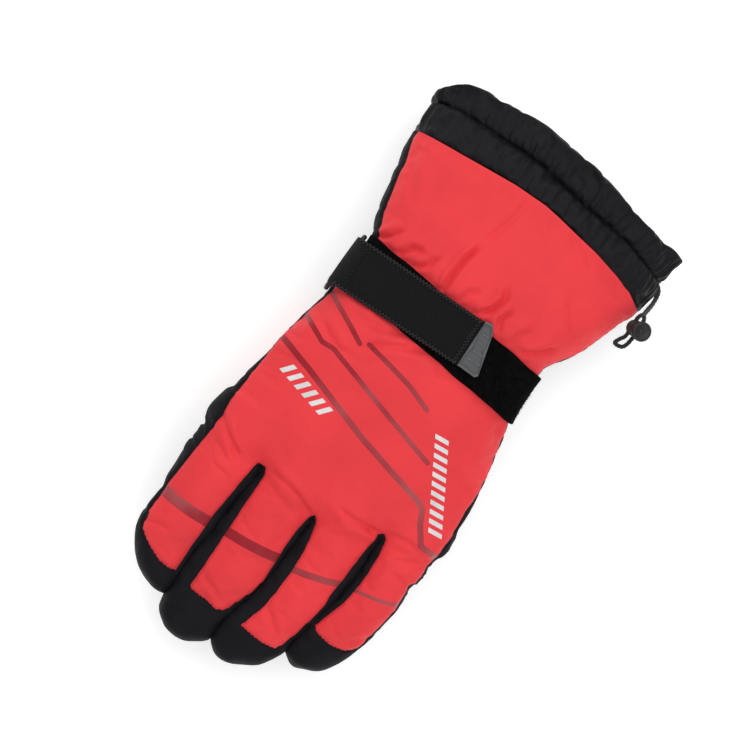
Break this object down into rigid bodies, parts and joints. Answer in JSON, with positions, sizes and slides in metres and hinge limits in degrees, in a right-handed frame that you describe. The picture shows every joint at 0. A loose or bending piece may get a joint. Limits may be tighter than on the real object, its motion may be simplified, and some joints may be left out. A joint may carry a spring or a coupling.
{
  "type": "ski glove",
  "caption": "Gauntlet winter glove for the left hand, with jointed finger stalls, a flared cuff, a hook-and-loop wrist strap and a drawcord lock.",
  "frame": {"origin": "on the flat outer face of the palm patch, under the middle of the hand", "axes": "+Z out of the back of the hand, -Y towards the fingertips, +Y towards the cuff, -X towards the thumb and index side"},
  "size_m": [0.1601, 0.3082, 0.0703],
  "materials": {
    "black_plastic": "satin moulded plastic",
    "black_shell": "matte woven softshell",
    "elastic": "braided elastic",
    "hook_tape": "hook tape",
    "insulation": "fibre fill",
    "lining": "brushed fleece",
    "loop_tape": "fuzzy loop pile",
    "membrane": "satin film",
    "palm_leather": "matte grained synthetic leather",
    "red_shell": "satin laminated softshell",
    "rubber_tab": "matte moulded rubber",
    "webbing": "woven webbing"
  },
  "bodies": {
    "hand": {"hand_back_panel": "red_shell", "palm_panel": "palm_leather", "palm_patch": "palm_leather", "waterproof_membrane": "membrane", "hand_insulation": "insulation", "hand_lining": "lining", "wrist_elastic": "elastic", "web_gusset_index_middle": "palm_leather", "web_gusset_middle_ring": "palm_leather", "web_gusset_ring_little": "palm_leather", "thumb_gusset": "palm_leather", "strap_base": "loop_tape", "loop_keeper": "webbing"},
    "cuff": {"cuff_back_panel": "red_shell", "cuff_palm_panel": "black_shell", "cuff_lining": "lining", "hem_band": "black_shell", "hem_roll": "black_shell", "drawcord": "elastic"},
    "cord_lock": {"cord_lock_body": "black_plastic"},
    "cord_lock_button": {"cord_lock_button": "black_plastic"},
    "strap_loop": {"strap_loop": "black_plastic"},
    "strap_flap": {"strap_webbing": "webbing", "strap_hook_patch": "hook_tape", "pull_tab": "rubber_tab"},
    "index_base": {"index_base_back": "red_shell", "index_base_sleeve": "palm_leather", "index_base_liner": "lining"},
    "index_tip": {"index_tip_back": "red_shell", "index_cap": "palm_leather", "index_tip_liner": "lining"},
    "middle_base": {"middle_base_back": "red_shell", "middle_base_sleeve": "palm_leather", "middle_base_liner": "lining"},
    "middle_tip": {"middle_tip_back": "red_shell", "middle_cap": "palm_leather", "middle_tip_liner": "lining"},
    "ring_base": {"ring_base_back": "red_shell", "ring_base_sleeve": "palm_leather", "ring_base_liner": "lining"},
    "ring_tip": {"ring_tip_back": "red_shell", "ring_cap": "palm_leather", "ring_tip_liner": "lining"},
    "little_base": {"little_base_back": "red_shell", "little_base_sleeve": "palm_leather", "little_base_liner": "lining"},
    "little_tip": {"little_tip_back": "red_shell", "little_cap": "palm_leather", "little_tip_liner": "lining"},
    "thumb_base": {"thumb_base_back": "red_shell", "thumb_base_sleeve": "palm_leather", "thumb_base_liner": "lining"},
    "thumb_tip": {"thumb_tip_back": "red_shell", "thumb_cap": "palm_leather", "thumb_tip_liner": "lining"}
  },
  "joints": [
    {"name": "index_knuckle", "type": "hinge", "parent": "hand", "child": "index_base", "pos_m": [-0.053, -0.052, 0.0196], "axis": [0.9997, -0.0262, 0], "range_deg": [-12, 60]},
    {"name": "index_middle_joint", "type": "hinge", "parent": "index_base", "child": "index_tip", "pos_m": [-0.05386, -0.08467, 0.01501], "axis": [1, -0.0044, 0], "range_deg": [-5, 65]},
    {"name": "middle_knuckle", "type": "hinge", "parent": "hand", "child": "middle_base", "pos_m": [-0.0176, -0.058, 0.0196], "axis": [0.9986, -0.0523, 0], "range_deg": [-12, 60]},
    {"name": "middle_middle_joint", "type": "hinge", "parent": "middle_base", "child": "middle_tip", "pos_m": [-0.01947, -0.0936, 0.01459], "axis": [0.9958, -0.0915, 0], "range_deg": [-5, 65]},
    {"name": "ring_knuckle", "type": "hinge", "parent": "hand", "child": "ring_base", "pos_m": [0.0176, -0.058, 0.0196], "axis": [0.9936, -0.1132, 0], "range_deg": [-12, 60]},
    {"name": "ring_middle_joint", "type": "hinge", "parent": "ring_base", "child": "ring_tip", "pos_m": [0.01368, -0.09244, 0.01473], "axis": [0.9863, -0.165, 0], "range_deg": [-5, 65]},
    {"name": "little_knuckle", "type": "hinge", "parent": "hand", "child": "little_base", "pos_m": [0.0496, -0.047, 0.0196], "axis": [0.9962, -0.0872, 0], "range_deg": [-12, 60]},
    {"name": "little_middle_joint", "type": "hinge", "parent": "little_base", "child": "little_tip", "pos_m": [0.04692, -0.07758, 0.01529], "axis": [0.9848, -0.1736, 0], "range_deg": [-5, 65]},
    {"name": "thumb_swing", "type": "hinge", "parent": "hand", "child": "thumb_base", "pos_m": [-0.042, 0.02, -0.0146], "axis": [0, 0, -1], "range_deg": [0, 65]},
    {"name": "thumb_bend", "type": "hinge", "parent": "thumb_base", "child": "thumb_tip", "pos_m": [-0.0381, -0.00773, -0.0146], "axis": [0, 0, 1], "range_deg": [-5, 45]},
    {"name": "wrist_flex", "type": "hinge", "parent": "hand", "child": "cuff", "pos_m": [0, 0.084, 0.0203], "axis": [1, 0, 0], "range_deg": [-25, 25]},
    {"name": "strap_loop_swivel", "type": "hinge", "parent": "hand", "child": "strap_loop", "pos_m": [-0.05508, 0.0628, 0.01018], "axis": [-0.0664, -0.9978, 0.0039], "range_deg": [0, 20]},
    {"name": "strap_peel", "type": "hinge", "parent": "strap_loop", "child": "strap_flap", "pos_m": [-0.05439, 0.0628, 0.02684], "axis": [-0.0664, -0.9978, -0.0025], "range_deg": [0, 60]},
    {"name": "cord_lock_slide", "type": "slide", "parent": "cuff", "child": "cord_lock", "axis": [0, -1, 0], "range_m": [0, 0.005]},
    {"name": "cord_lock_press", "type": "slide", "parent": "cord_lock", "child": "cord_lock_button", "axis": [-0.3, 0, -0.9539], "range_m": [0, 0.002], "stiffness_N_per_m": 800}
  ]
}
